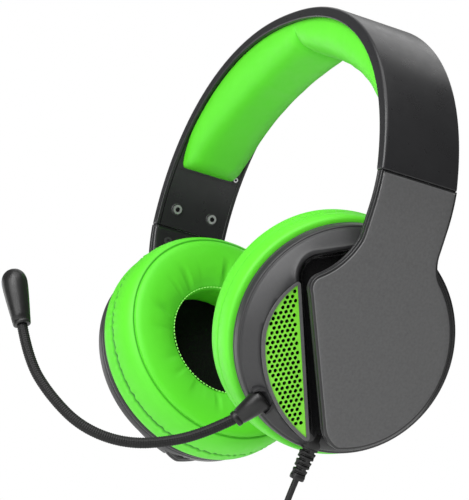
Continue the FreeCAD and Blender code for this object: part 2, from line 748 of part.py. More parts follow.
def strain_relief():
    place = cup_place(LEFT_TOE_IN)
    start, end = relief_line()
    relief = cone(RELIEF_R, RELIEF_END_R, start + Vector(0, -0.5, 0), end)
    flange = cylinder(FLANGE_R, start, start + (end - start).normalize() * FLANGE_DEPTH)
    flange = flange.common(box(-20, 20, RELIEF_END, 0, -1.9, 4.6))
    return placed(relief.fuse(flange), place)


def cable():
    keep("strain_relief", strain_relief())
    route = cable_route()
    print("cable route", [tuple(round(c, 2) for c in p) for p in route])
    keep("cable_lead", tube(route, CABLE_R, "cable lead"))
    coil = Part.makeCylinder(COIL_R + COIL_DEPTH, COIL_HALF * 2)
    coil = coil.cut(Part.makeCylinder(COIL_R - COIL_DEPTH, COIL_HALF * 2))
    lying = Rotation(Vector(0, 0, 1), Vector(0, -1, 0))
    coil.Placement = Placement(COIL_CENTRE + Vector(0, COIL_HALF, 0), lying)
    keep("cable_coil", coil)
    keep("cable_tie", coil_tie())
    keep("cable_tail", tube(TAIL_ROUTE, CABLE_R, "cable tail"))
    plug()


def coil_tie():
    """The strap round the winding, near the lead."""
    depth, half, wide = COIL_DEPTH + 0.1, COIL_HALF + 0.1, TIE_WIDTH / 2
    outer, side = depth + TIE_THICK, half + TIE_THICK
    loop = box(-outer, outer, -side, side, -wide, wide)
    loop = loop.cut(box(-depth - 0.25, depth + 0.25, -half, half, -wide - 1, wide + 1))
    loop.translate(Vector(COIL_R, 0, 0))
    loop.rotate(Vector(0, 0, 0), Vector(0, 1, 0), -TIE_ANGLE)
    loop.translate(COIL_CENTRE)
    return loop


def plug():
    """A four-pole 3.5 mm plug hanging from the tail."""
    down = Vector(0, 0, -1)
    top = TAIL_ROUTE[-1]
    grip = cone(2.0, PLUG_BODY_R, top, top + down * PLUG_TAPER)
    grip = grip.fuse(cylinder(PLUG_BODY_R, top + down * PLUG_TAPER, top + down * PLUG_BODY))
    keep("plug_grip", grip)
    seat = top + down * PLUG_BODY
    shoulder = seat + down * (PLUG_PIN - PLUG_NOSE)
    nose = cone(PLUG_R, PLUG_R / 2, shoulder, seat + down * PLUG_PIN)
    keep("plug_pin", cylinder(PLUG_R, seat, shoulder).fuse(nose))
    print("plug pin seat", tuple(round(c, 2) for c in seat))


# ---------------------------------------------------------------- assembly

def sides():
    arm = arm_side()
    for node, shape in arm.items():
        keep("left_" + node, shape)
        keep("right_" + node, mirrored(shape))
    frame = gimbal()
    keep("left_gimbal", placed(frame, ear_place()))
    keep("right_gimbal", mirrored(placed(frame, ear_place())))
    for side, toe_in in (("left", LEFT_TOE_IN), ("right", RIGHT_TOE_IN)):
        place = cup_place(toe_in)
        for node, shape in cup_side(side == "left").items():
            shape = placed(shape, place)
            if side == "right":
                shape = mirrored(shape)
            keep(side + "_" + node, shape)


def report_joints():
    place = ear_place()
    pivot = place.multVec(Vector(0, 0, PIVOT_W))
    low, along = slide_axis()
    print("pivot", pivot, "upright", place.Rotation.multVec(Vector(0, 1, 0)))
    print("slide", low, along)
    cup = cup_place(LEFT_TOE_IN)
    print("mic", cup.multVec(MIC_HUB), cup.Rotation.multVec(Vector(0, 0, 1)))


headband()
sides()
microphone()
cable()
report_joints()
os.makedirs("parts", exist_ok=True)
for name, solid in sorted(PARTS.items()):
    solid.exportStep("parts/" + name + ".step")
    print(name, len(solid.Solids), solid.isValid(), round(solid.Volume, 1))
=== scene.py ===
import json
import math

import bmesh
import bpy
import numpy as np
from mathutils import Matrix, Vector
from mathutils.geometry import delaunay_2d_cdt


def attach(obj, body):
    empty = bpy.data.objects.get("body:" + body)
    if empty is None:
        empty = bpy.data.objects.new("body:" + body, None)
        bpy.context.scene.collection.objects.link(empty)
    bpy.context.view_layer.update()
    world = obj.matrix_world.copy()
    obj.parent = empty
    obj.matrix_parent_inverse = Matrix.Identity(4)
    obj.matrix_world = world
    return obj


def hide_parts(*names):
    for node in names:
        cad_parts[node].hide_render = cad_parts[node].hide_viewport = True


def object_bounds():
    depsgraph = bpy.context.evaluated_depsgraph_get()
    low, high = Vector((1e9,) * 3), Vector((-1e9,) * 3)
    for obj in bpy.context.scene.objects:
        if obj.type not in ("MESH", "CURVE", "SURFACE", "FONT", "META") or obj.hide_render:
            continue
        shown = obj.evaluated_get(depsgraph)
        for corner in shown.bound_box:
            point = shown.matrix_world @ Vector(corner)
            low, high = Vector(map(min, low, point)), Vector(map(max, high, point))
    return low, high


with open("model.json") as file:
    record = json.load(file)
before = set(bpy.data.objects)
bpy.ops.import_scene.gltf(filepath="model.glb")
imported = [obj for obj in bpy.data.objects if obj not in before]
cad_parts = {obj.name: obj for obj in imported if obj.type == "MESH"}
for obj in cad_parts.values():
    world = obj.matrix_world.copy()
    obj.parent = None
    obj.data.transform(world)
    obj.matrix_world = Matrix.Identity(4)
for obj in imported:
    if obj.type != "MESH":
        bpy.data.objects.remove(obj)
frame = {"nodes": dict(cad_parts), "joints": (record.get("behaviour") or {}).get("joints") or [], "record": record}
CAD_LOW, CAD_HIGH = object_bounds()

# Lengths are in millimetres until a mesh is made, and MM turns them into metres.
MM = 0.001

# Sizes that the CAD design also has
HALF_WIDTH = 100.5
RISE = 96.3
ARCH_POWER = 2.2
ARCH_Z = -80.5
BAND_WIDTH = 36.0
BAND_DEPTH = 4.8
SEAM_RISE = 12.4
PAD_RISE = 39.6
PAD_DEPTH = 11.0
PIVOT_W = 10.5
ARM_TOP = 18.5
ARM_DEPTH = 4.5
NECK_BEND_V = 53.6
NECK_BEND_R = 55.6
TOE_IN = {"left": 6.1, "right": 0.8}      # each cup's swivel as it rests, in degrees
CUP_R = 47.0
CUP_BACK = -3.0
CUP_FLAT = 10.5
CUP_FLAT_R = 36.6
CUP_DOME = [(0, 0), (0.3, 2.2), (1.3, 3.7), (4.0, 6.2), (8.0, 9.4)]
SCOOP_W = 6.5

JOINTS = {j["name"]: j for j in frame["joints"]}
SIDES = ("left", "right")
SIGN = {"left": 1, "right": -1}      # of x


# ------------------------------------------------------------ frames of the two ears

def unit(v):
    v = np.array(v, float)
    return v / np.linalg.norm(v)


def ear_frame(side, turned=True):
    """Rows u, v, w and the origin of one ear's frame, in mm; turned adds the cup's own swivel."""
    joint = JOINTS[side + "_swivel"]
    pivot = np.array(joint["pos_m"], float) / MM
    v = unit(joint["axis"])
    u = np.array([0.0, 1.0, 0.0])
    w = np.cross(u, v) if side == "left" else np.cross(v, u)
    if turned:
        toe_in = math.radians(TOE_IN[side])
        u, w = u * math.cos(toe_in) + w * math.sin(toe_in), w * math.cos(toe_in) - u * math.sin(toe_in)
    return np.array([u, v, w]), pivot - w * PIVOT_W


def to_world(points, side, turned=True):
    axes, origin = ear_frame(side, turned)
    return np.asarray(points, float) @ axes + origin


def ear_points(obj, side, turned=True):
    """A mesh's points in one ear's frame."""
    axes, origin = ear_frame(side, turned)
    world = np.array([v.co[:] for v in obj.data.vertices]) / MM
    return (world - origin) @ axes.T


def mark_points(obj, name, values):
    """A point attribute that the material reads."""
    attribute = obj.data.attributes.new(name, "FLOAT", "POINT")
    attribute.data.foreach_set("value", values.astype(np.float32))


# ------------------------------------------------------------ meshes

def add_mesh(name, points, faces, material):
    """A mesh object from points in mm, with its faces turned outwards."""
    mesh = bpy.data.meshes.new(name)
    mesh.from_pydata((np.asarray(points, float) * MM).tolist(), [], [list(map(int, f)) for f in faces])
    mesh.validate()
    obj = bpy.data.objects.new(name, mesh)
    bpy.context.scene.collection.objects.link(obj)
    mesh.materials.append(material)
    mesh.polygons.foreach_set("use_smooth", [True] * len(mesh.polygons))
    face_outwards(obj)
    return obj


def face_outwards(obj):
    work = bmesh.new()
    work.from_mesh(obj.data)
    bmesh.ops.remove_doubles(work, verts=work.verts, dist=1e-7)
    bmesh.ops.recalc_face_normals(work, faces=work.faces)
    work.to_mesh(obj.data)
    work.free()


def rings_mesh(rings, wrap=False):
    """Points and faces of a skin over closed rings: ends filled, or with wrap the last joined to the first."""
    rings = np.asarray(rings, float)
    count, around = rings.shape[:2]
    points = rings.reshape(-1, 3)
    faces = []
    for i in range(count if wrap else count - 1):
        j = (i + 1) % count
        for k in range(around):
            m = (k + 1) % around
            faces.append((i * around + k, i * around + m, j * around + m, j * around + k))
    if not wrap:
        faces.append(tuple(range(around))[::-1])
        faces.append(tuple((count - 1) * around + k for k in range(around)))
    return points, faces


def arc_points(a, m, b, steps):
    """Points on the arc from a through m to b, without b."""
    a, m, b = (np.array(p, float) for p in (a, m, b))
    d = 2 * (a[0] * (m[1] - b[1]) + m[0] * (b[1] - a[1]) + b[0] * (a[1] - m[1]))
    aa, mm, bb = a @ a, m @ m, b @ b
    centre = np.array([
        (aa * (m[1] - b[1]) + mm * (b[1] - a[1]) + bb * (a[1] - m[1])) / d,
        (aa * (b[0] - m[0]) + mm * (a[0] - b[0]) + bb * (m[0] - a[0])) / d,
    ])
    radius = np.linalg.norm(a - centre)
    start, middle, end = (math.atan2(*(p - centre)[::-1]) for p in (a, m, b))
    turn = 2 * math.pi
    sweep = (end - start) % turn
    if (middle - start) % turn > sweep:
        sweep -= turn
    angles = start + sweep * np.arange(steps) / steps
    return centre + radius * np.stack([np.cos(angles), np.sin(angles)], 1)


def line_points(a, b, steps):
    a, b = np.array(a, float), np.array(b, float)
    return a + (b - a) * (np.arange(steps) / steps)[:, None]


def rounded(corners, radii, steps=5):
    """A closed outline with rounded corners."""
    corners = [np.array(c, float) for c in corners]
    points = []
    for i, (corner, r) in enumerate(zip(corners, radii)):
        back = unit(corners[i - 1] - corner)
        on = unit(corners[(i + 1) % len(corners)] - corner)
        half = math.acos(max(-1, min(1, back @ on))) / 2
        reach = r / math.tan(half)
        centre = corner + unit(back + on) * r / math.sin(half)
        a, b = corner + back * reach, corner + on * reach
        middle = centre - unit(back + on) * r
        points.extend(arc_points(a, middle, b, steps))
        points.append(b)
    return np.array(points)


def resample(loop, spacing):
    """Evenly spaced points round a closed outline, starting at its first point."""
    loop = np.vstack([loop, loop[:1]])
    steps = np.linalg.norm(np.diff(loop, axis=0), axis=1)
    total = np.concatenate([[0], np.cumsum(steps)])
    count = int(round(total[-1] / spacing))
    where = np.linspace(0, total[-1], count, endpoint=False)
    return np.stack([np.interp(where, total, loop[:, i]) for i in range(loop.shape[1])], 1)


def outline_normals(loop):
    """Outward normals of a closed outline, anticlockwise or not."""
    along = np.roll(loop, -1, 0) - np.roll(loop, 1, 0)
    normal = np.stack([along[:, 1], -along[:, 0]], 1)
    normal /= np.linalg.norm(normal, axis=1)[:, None]
    area = np.sum(loop[:, 0] * np.roll(loop[:, 1], -1) - np.roll(loop[:, 0], -1) * loop[:, 1])
    return normal if area > 0 else -normal


def inside(points, loop):
    """Which points lie inside a closed outline."""
    x, y = points[:, 0][:, None], points[:, 1][:, None]
    x0, y0 = loop[:, 0][None], loop[:, 1][None]
    x1, y1 = np.roll(loop[:, 0], -1)[None], np.roll(loop[:, 1], -1)[None]
    crosses = (y0 > y) != (y1 > y)
    at = (x1 - x0) * (y - y0) / np.where(y1 == y0, 1e-12, y1 - y0) + x0
    return (crosses & (x < at)).sum(1) % 2 == 1


def distance(points, path):
    """Distance of points from an open polyline."""
    best = np.full(len(points), 1e9)
    for a, b in zip(path[:-1], path[1:]):
        d = b - a
        t = np.clip(((points - a) @ d) / max(d @ d, 1e-12), 0, 1)
        best = np.minimum(best, np.linalg.norm(points - a - t[:, None] * d, axis=1))
    return best


def smooth_step(x, low, high):
    t = np.clip((np.asarray(x, float) - low) / (high - low), 0, 1)
    return t * t * (3 - 2 * t)


def waves(seed, angles, counts):
    """A smooth irregular pattern round a circle, about -1 to 1."""
    random = np.random.default_rng(seed)
    total = np.zeros_like(angles)
    for count in counts:
        total += random.uniform(0.5, 1.0) * np.sin(count * angles + random.uniform(0, 2 * math.pi))
    return total / len(counts)


# ------------------------------------------------------------ camera and cable

CAMERA_AZIMUTH = 62.97
CAMERA_ELEVATION = -11.93
CAMERA_ROLL = 10.08
CAMERA_DISTANCE = 1.167
CAMERA_TARGET = Vector((-0.0118, -0.0189, -0.0898))
CAMERA_LENS = 197.1


def make_camera():
    camera = bpy.data.objects.new("camera", bpy.data.cameras.new("camera"))
    bpy.context.scene.collection.objects.link(camera)
    azimuth, elevation = math.radians(CAMERA_AZIMUTH), math.radians(CAMERA_ELEVATION)
    back = Vector((
        math.sin(azimuth) * math.cos(elevation), -math.cos(azimuth) * math.cos(elevation),
        math.sin(elevation),
    ))
    camera.rotation_mode = "QUATERNION"
    camera.rotation_quaternion = (-back).to_track_quat("-Z", "Y")
    turn = Matrix.Rotation(math.radians(CAMERA_ROLL), 4, back)
    camera.matrix_world = Matrix.Translation(CAMERA_TARGET + back * CAMERA_DISTANCE) @ turn @ (
        camera.rotation_quaternion.to_matrix().to_4x4()
    )
    camera.data.lens = CAMERA_LENS
    camera.data.sensor_width = 36.0
    camera.data.clip_start, camera.data.clip_end = 0.05, 20.0
    bpy.context.scene.camera = camera


CABLE_R = 1.3
COIL_CENTRE = np.array([42.0, -6.2, -253.0])
LEAD_ROUTE = [
    (49.13, -4.54, -188.39), (46.44, -5.43, -196.93), (43.7, -6.0, -208.0), (42.9, -6.6, -219.0),
    (44.6, -8.2, -226.5), (44.9, -8.8, -231.2),
]
TAIL_ROUTE = [(-16.9, -5.0, -5.0), (-16.9, -3.6, -11.8), (-17.0, -2.2, -17.0), (-16.9, -1.5, -23.0)]
COIL_SLOTS = [
    (19.4, -2.6), (19.4, 0.0), (19.4, 2.6), (16.8, 2.6), (16.8, 0.0), (16.8, -2.6),
    (14.2, -2.6), (14.2, 0.0), (14.2, 2.6), (11.6, 2.6), (11.6, 0.0), (11.6, -3.6), (16.6, -5.4),
]
TURN_POINTS = 16


def coil_points():
    """Control points of the turns: each fills one slot of the winding and moves on near its end."""
    points = []
    swell = 1 / (0.75 + 0.25 * math.cos(2 * math.pi / TURN_POINTS))
    last = TURN_POINTS * (len(COIL_SLOTS) - 2) + TURN_POINTS // 4
    for i in range(last + 1):
        turn, step = divmod(i, TURN_POINTS)
        share = smooth_step(step / TURN_POINTS, 0.62, 1.0)
        if turn == len(COIL_SLOTS) - 2:
            share = smooth_step(step / TURN_POINTS, 0.0, 0.25)
        (r0, y0), (r1, y1) = COIL_SLOTS[turn], COIL_SLOTS[turn + 1]
        r = (r0 + (r1 - r0) * share) * swell
        y = y0 + (y1 - y0) * share
        angle = math.radians(90 + 360 * i / TURN_POINTS)
        points.append(COIL_CENTRE + np.array([r * math.cos(angle), y, r * math.sin(angle)]))
    return points


def make_cable(material):
    points = [np.array(p) for p in LEAD_ROUTE] + coil_points()
    points += [COIL_CENTRE + np.array(p) for p in TAIL_ROUTE]
    curve = bpy.data.curves.new("cable", "CURVE")
    curve.dimensions = "3D"
    curve.bevel_depth = CABLE_R * MM
    curve.bevel_resolution = 5
    curve.use_fill_caps = True
    curve.resolution_u = 8
    spline = curve.splines.new("NURBS")
    spline.points.add(len(points) - 1)
    for point, place in zip(spline.points, points):
        point.co = (*(place * MM), 1.0)
    spline.order_u = 3
    spline.use_endpoint_u = True
    cable = bpy.data.objects.new("cable", curve)
    bpy.context.scene.collection.objects.link(cable)
    curve.materials.append(material)
    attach(cable, "left_cup")
    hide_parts("cable_lead", "cable_coil", "cable_tail")


# ------------------------------------------------------------ materials

class Material:
    """A principled material with a short way to add noise, bump and colour."""

    def __init__(self, name, colour, roughness, **values):
        self.material = bpy.data.materials.new(name)
        self.material.use_nodes = True
        self.nodes = self.material.node_tree.nodes
        self.links = self.material.node_tree.links
        self.shader = self.nodes["Principled BSDF"]
        self.shader.inputs["Base Color"].default_value = (*colour, 1)
        self.shader.inputs["Roughness"].default_value = roughness
        for key, value in values.items():
            self.shader.inputs[key.replace("_", " ")].default_value = value
        self.coordinates = self.nodes.new("ShaderNodeTexCoord").outputs["Object"]
        self.height = None

    def add(self, kind, **values):
        node = self.nodes.new(kind)
        for key, value in values.items():
            if key in node.inputs:
                node.inputs[key].default_value = value
            else:
                setattr(node, key, value)
        return node

    def noise(self, per_metre, detail=3.0, roughness=0.55):
        node = self.add("ShaderNodeTexNoise", Scale=per_metre, Detail=detail, Roughness=roughness)
        self.links.new(self.coordinates, node.inputs["Vector"])
        return node.outputs["Fac"]

    def cells(self, per_metre, feature="F1"):
        node = self.add("ShaderNodeTexVoronoi", Scale=per_metre)
        node.feature = feature
        self.links.new(self.coordinates, node.inputs["Vector"])
        return node.outputs["Distance"]

    def spread(self, value, low, high, out_low=0.0, out_high=1.0):
        node = self.nodes.new("ShaderNodeMapRange")
        for key, number in zip(("From Min", "From Max", "To Min", "To Max"), (low, high, out_low, out_high)):
            node.inputs[key].default_value = number
        self.links.new(value, node.inputs["Value"])
        return node.outputs["Result"]

    def mix(self, share, a, b):
        node = self.nodes.new("ShaderNodeMix")
        node.data_type = "RGBA"
        node.inputs["A"].default_value = (*a, 1)
        node.inputs["B"].default_value = (*b, 1)
        self.links.new(share, node.inputs["Factor"])
        return node.outputs["Result"]

    def blend(self, share, value, colour):
        """From a linked colour towards a fixed one."""
        node = self.nodes.new("ShaderNodeMix")
        node.data_type = "RGBA"
        self.links.new(share, node.inputs["Factor"])
        self.links.new(value, node.inputs["A"])
        node.inputs["B"].default_value = (*colour, 1)
        return node.outputs["Result"]

    def bump(self, value, strength, height_mm):
        node = self.add("ShaderNodeBump", Strength=strength, Distance=height_mm * MM)
        self.links.new(value, node.inputs["Height"])
        if self.height:
            self.links.new(self.height, node.inputs["Normal"])
        self.height = node.outputs["Normal"]
        self.links.new(self.height, self.shader.inputs["Normal"])

    def colour(self, value):
        self.links.new(value, self.shader.inputs["Base Color"])

    def rough(self, value):
        self.links.new(value, self.shader.inputs["Roughness"])

    def attribute(self, name):
        node = self.add("ShaderNodeAttribute", attribute_name=name)
        return node.outputs["Fac"]


def satin_black():
    m = Material("satin black plastic", (0.015, 0.015, 0.016), 0.3, Specular_IOR_Level=0.4)
    m.colour(m.mix(m.noise(55), (0.012, 0.012, 0.013), (0.018, 0.018, 0.019)))
    m.rough(m.spread(m.noise(160, 5), 0.3, 0.7, 0.26, 0.34))
    m.bump(m.noise(900, 2), 0.06, 0.02)
    return m.material


def textured_black():
    """Finely textured plastic; the point attribute marks the side walls, which are polished and painted near black
    as painted shade.
    """
    m = Material("textured black plastic", (0.07, 0.07, 0.071), 0.5)
    base = m.mix(m.noise(900, 6), (0.062, 0.062, 0.063), (0.113, 0.113, 0.114))
    side = m.attribute("side")
    # Painted shade: the side walls are painted near black; only their lower roughness is real polish.
    m.colour(m.blend(side, base, (0.010, 0.010, 0.0105)))
    m.rough(m.spread(side, 0, 1, 0.5, 0.3))
    m.bump(m.noise(1500, 3, 0.7), 0.5, 0.06)
    return m.material


def cup_black():
    """The cup's plastic: matt outside, polished in the scoop, which the point attribute marks; the scoop is also
    painted darker as painted shade under the arm plate.
    """
    m = Material("cup black plastic", (0.022, 0.022, 0.023), 0.45, Specular_IOR_Level=0.4)
    scoop = m.attribute("scoop")
    base = m.mix(m.noise(700, 6), (0.017, 0.017, 0.018), (0.027, 0.027, 0.028))
    # Painted shade: the scoop, a recess under the arm plate, is painted darker; its lower roughness is real
    # polish.
    m.colour(m.blend(scoop, base, (0.010, 0.010, 0.0105)))
    m.rough(m.spread(scoop, 0, 1, 0.42, 0.2))
    m.bump(m.noise(1800, 3, 0.7), 0.12, 0.03)
    return m.material


def green_leather():
    """Leatherette; the point attribute paints shade down in the seams."""
    m = Material("green leatherette", (0.10, 0.62, 0.02), 0.55, Specular_IOR_Level=0.45)
    base = m.mix(m.noise(38, 4), (0.078, 0.58, 0.011), (0.100, 0.63, 0.019))
    # Painted shade: the creases of the seams are painted dark green.
    m.colour(m.blend(m.attribute("seam"), base, (0.008, 0.16, 0.004)))
    m.rough(m.spread(m.noise(220, 5), 0.3, 0.7, 0.48, 0.62))
    m.bump(m.cells(1500, "SMOOTH_F1"), 0.22, 0.06)
    m.bump(m.noise(240, 6, 0.6), 0.3, 0.10)
    return m.material


def green_paint():
    m = Material("green painted metal", (0.17, 0.66, 0.02), 0.3)
    m.colour(m.mix(m.noise(60, 4), (0.16, 0.62, 0.018), (0.22, 0.74, 0.035)))
    m.bump(m.noise(900, 3), 0.2, 0.02)
    return m.material


def black_cloth():
    m = Material("black cloth", (0.004, 0.004, 0.004), 0.9, Specular_IOR_Level=0.15)
    m.bump(m.cells(900), 0.8, 0.25)
    m.colour(m.mix(m.cells(900), (0.001, 0.001, 0.001), (0.004, 0.004, 0.004)))
    return m.material


def steel():
    m = Material("steel", (0.62, 0.62, 0.63), 0.42, Metallic=1.0)
    m.rough(m.spread(m.noise(700, 5), 0.3, 0.7, 0.36, 0.5))
    m.bump(m.noise(1800, 2), 0.1, 0.02)
    return m.material


def dark_steel():
    m = Material("blackened steel", (0.03, 0.03, 0.031), 0.45)
    m.rough(m.spread(m.noise(700, 5), 0.3, 0.7, 0.38, 0.55))
    m.bump(m.noise(1800, 2), 0.1, 0.02)
    return m.material


def inner_plastic():
    m = Material("inner black plastic", (0.012, 0.012, 0.013), 0.55)
    m.bump(m.noise(1200, 3), 0.2, 0.03)
    m.colour(m.mix(m.noise(80), (0.010, 0.010, 0.011), (0.016, 0.016, 0.017)))
    return m.material


def soft_black():
    m = Material("soft touch black", (0.007, 0.007, 0.007), 0.34, Specular_IOR_Level=0.35)
    m.rough(m.spread(m.noise(260, 4), 0.3, 0.7, 0.3, 0.42))
    m.bump(m.noise(1600, 3), 0.15, 0.02)
    return m.material


def black_rubber():
    m = Material("black rubber", (0.008, 0.008, 0.008), 0.45, Specular_IOR_Level=0.35)
    m.colour(m.mix(m.noise(120), (0.006, 0.006, 0.006), (0.011, 0.011, 0.011)))
    m.bump(m.noise(1400, 4), 0.25, 0.03)
    return m.material


def thread():
    m = Material("green thread", (0.28, 0.82, 0.12), 0.6)
    m.colour(m.mix(m.noise(900), (0.24, 0.76, 0.10), (0.36, 0.88, 0.18)))
    return m.material


def braid():
    m = Material("black braid", (0.005, 0.005, 0.005), 0.5, Specular_IOR_Level=0.25)
    m.colour(m.mix(m.noise(700), (0.003, 0.003, 0.003), (0.009, 0.009, 0.009)))
    m.bump(m.noise(2600, 3), 0.3, 0.04)
    return m.material


def gold():
    m = Material("gold plated", (0.83, 0.62, 0.28), 0.22, Metallic=1.0)
    m.rough(m.spread(m.noise(600, 4), 0.3, 0.7, 0.18, 0.32))
    return m.material


def board_green():
    m = Material("circuit board", (0.02, 0.16, 0.06), 0.35)
    m.colour(m.mix(m.cells(400), (0.015, 0.12, 0.045), (0.03, 0.24, 0.09)))
    return m.material


def film():
    m = Material("clear film", (0.75, 0.72, 0.6), 0.2)
    m.rough(m.spread(m.noise(400), 0.3, 0.7, 0.15, 0.3))
    return m.material


MATERIALS = {
    "satin_black_plastic": satin_black(), "textured_black_plastic": textured_black(),
    "green_leatherette": green_leather(), "green_grille": green_paint(), "black_cloth": black_cloth(),
    "steel": steel(), "inner_plastic": inner_plastic(), "clear_film": film(),
    "circuit_board": board_green(), "wire_jacket": black_rubber(), "soft_touch_black": soft_black(),
    "black_rubber": black_rubber(), "plug_metal": gold(),
}
CUP_BLACK = cup_black()
THREAD = thread()
BRAID = braid()
DARK_STEEL = dark_steel()


def dress_cad_nodes():
    """Every CAD node gets the procedural material of its slot."""
    slots = {s["node"]: s["material_slot"] for s in frame["record"]["subparts"]}
    for name, obj in frame["nodes"].items():
        obj.data.materials.clear()
        material = MATERIALS[slots[name]]
        if name.endswith("_arm_screws"):
            material = DARK_STEEL
        if name.endswith("_arm_inner_plate"):
            material = MATERIALS["satin_black_plastic"]
        obj.data.materials.append(material)


def finish_piece(obj, body, slot, *nodes):
    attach(obj, body)
    if nodes:
        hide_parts(*nodes)


# ------------------------------------------------------------ headband

def arch_point(inset, t):
    c, s = math.cos(math.radians(t)), math.sin(math.radians(t))
    x = (HALF_WIDTH - inset) * math.copysign(abs(c) ** (2 / ARCH_POWER), c)
    return np.array([x, 0, ARCH_Z + (RISE - inset) * abs(s) ** (2 / ARCH_POWER)])


def arch_angle(inset, rise):
    return math.degrees(math.asin((rise / (RISE - inset)) ** (ARCH_POWER / 2)))


def arch_at(inset, rise, share):
    """A point of the inset arch, a share of the way from one end over the top to the other."""
    low = arch_angle(inset, rise)
    return arch_point(inset, low + (180 - 2 * low) * share)


BAND_RIM = 2.0            # the shell's side walls
BAND_SKIN = 1.3           # its outer wall
BAND_EDGE = 0.0022        # share of the arch over which its end is softened


def band_shell():
    """The channel of the band: a section with softened edges swept over the arch, drawn in at its ends."""
    half, inner = BAND_WIDTH / 2, BAND_WIDTH / 2 - BAND_RIM
    corners = [
        (-half, 0), (half, 0), (half, BAND_DEPTH), (inner, BAND_DEPTH), (inner, BAND_SKIN),
        (-inner, BAND_SKIN), (-inner, BAND_DEPTH), (-half, BAND_DEPTH),
    ]
    profile = rounded(corners, [1.5, 1.5, 0.7, 0.7, 0.3, 0.3, 0.7, 0.7], 6)
    shrunk = profile - outline_normals(profile) * 0.45
    slightly = profile - outline_normals(profile) * 0.12
    shares = np.linspace(0, 1, 161)
    stations = [(0.0, shrunk), (BAND_EDGE * 0.35, slightly), (BAND_EDGE, profile)]
    stations += [(s, profile) for s in shares[2:-2]]
    stations += [(1 - s, p) for s, p in stations[2::-1]]
    rings = []
    for share, outline in stations:
        ring = []
        for y, inset in outline:
            point = arch_at(inset, SEAM_RISE, share)
            point[1] = y
            ring.append(point)
        rings.append(ring)
    shell = add_mesh("headband_shell", *rings_mesh(rings), MATERIALS["satin_black_plastic"])
    finish_piece(shell, "headband", "satin_black_plastic", "band_shell")


COVER_SCREWS = [(21.8, -9.6), (21.8, 8.5)]
LINER_SCREW = (42.6, 14.2)


COVER_HEAD = (2.1, 0.9)   # radius, height
LINER_HEAD = (1.1, 0.5)


def hexagon(_, r, angles):
    """The radius of a hexagon by angle, for turned_piece."""
    return r / np.cos((angles + math.pi / 6) % (math.pi / 3) - math.pi / 6)


def screw_head(name, side, rise, y, head_r, head_h):
    """A dark ring round a screw's head as its painted shadow, and a dark hexagonal sheet over the head as the
    painted shade in its socket.
    """
    sign = SIGN[side]
    t = arch_angle(0, rise)
    along = arch_point(0, t + 0.5) - arch_point(0, t - 0.5)
    into = unit((abs(along[2]), 0, abs(along[0])))
    seat = arch_point(0, t) - into * (BAND_DEPTH + 0.02) + np.array([0, y, 0])
    into, seat = into * (sign, 1, 1), seat * (sign, 1, 1)
    # Painted shadow: a thin dark ring on the cover round the head.
    shadow_ring = [(0.12, head_r - 0.05), (-0.05, head_r), (-0.05, head_r + 0.1), (-0.14, head_r + 0.3),
            (-0.12, head_r + 0.6), (0.02, head_r + 0.75), (0.12, head_r + 0.7)]
    obj = add_mesh(name + "_well", *turned_piece(shadow_ring, seat, into, 48), DARK_STEEL)
    finish_piece(obj, "headband", "inner_plastic")
    top = seat - into * (head_h + 0.03)
    # Painted shade: a thin near-black hexagon just over the head, where its socket is.
    socket_shade = [(0.0, 0.02), (0.0, head_r * 0.44), (0.02, head_r * 0.5), (0.06, head_r * 0.5)]
    obj = add_mesh(name + "_socket", *turned_piece(socket_shade, top, into, 48, hexagon), MATERIALS["black_cloth"])
    finish_piece(obj, "headband", "inner_plastic")


def screw_heads(side):
    for i, (rise, y) in enumerate(COVER_SCREWS):
        screw_head("%s_cover_screw_%d" % (side, i), side, rise, y, *COVER_HEAD)
    screw_head(side + "_liner_screw", side, *LINER_SCREW, *LINER_HEAD)


PAD_LENGTH = 88.0         # what the stations are counted along; the arc itself is longer
PAD_STATIONS = np.linspace(0, 1, 7)
PAD_CROWN = [5.6, 9.6, 13.0, 15.0, 15.3, 13.8, PAD_DEPTH]


def pad(side):
    """Half of the crown pad: a puffed strip that dips at the middle seam and rounds off at its end."""
    sign = SIGN[side]
    half = BAND_WIDTH / 2 - 2.35
    low = arch_angle(BAND_DEPTH, PAD_RISE - 0.5)
    length = PAD_LENGTH
    spans = (0, 10, 22), (10.8, 84, 62), (84.4, length, 16)
    rings = []
    for along in np.concatenate([np.linspace(*span) for span in spans]):
        share = along / length
        end = (1 - (1 - min(along / 7.0, 1)) ** 2.4) ** 0.5
        middle = length - along
        seam = 1 - 0.30 * math.exp(-middle / 1.0) - 0.10 * math.exp(-middle / 6.0)
        plump = float(np.interp(share, PAD_STATIONS, PAD_CROWN))
        t = low + (90 - low) * share
        narrow = 1 - 0.13 * (1 - end) - 0.10 * float(1 - smooth_step(along, 0, 16))
        near = 0.7 * math.exp(-middle / 5) + 0.5 * math.exp(-along / 8)
        ring = []
        for k in range(72):
            angle = 2 * math.pi * k / 72
            c, s = math.cos(angle), math.sin(angle)
            y = half * math.copysign(abs(c) ** 0.55, c)
            if s >= 0:
                crease = 0.30 * near * math.sin(0.8 * y + 2.0 * math.sin(0.21 * y + sign)) * s
                depth = BAND_DEPTH - 1.2 + (plump + 1.2) * end * seam * s ** 0.72 + crease
            else:
                depth = BAND_DEPTH - 1.2 + 1.0 * s * (0.3 + 0.7 * end)
            point = arch_point(depth, t)
            ring.append((sign * max(point[0], 0.05), y * narrow, point[2]))
        rings.append(ring)
    obj = add_mesh("headband_pad_" + side, *rings_mesh(rings), MATERIALS["green_leatherette"])
    finish_piece(obj, "headband", "green_leatherette", side + "_pad")


# ------------------------------------------------------------ arms

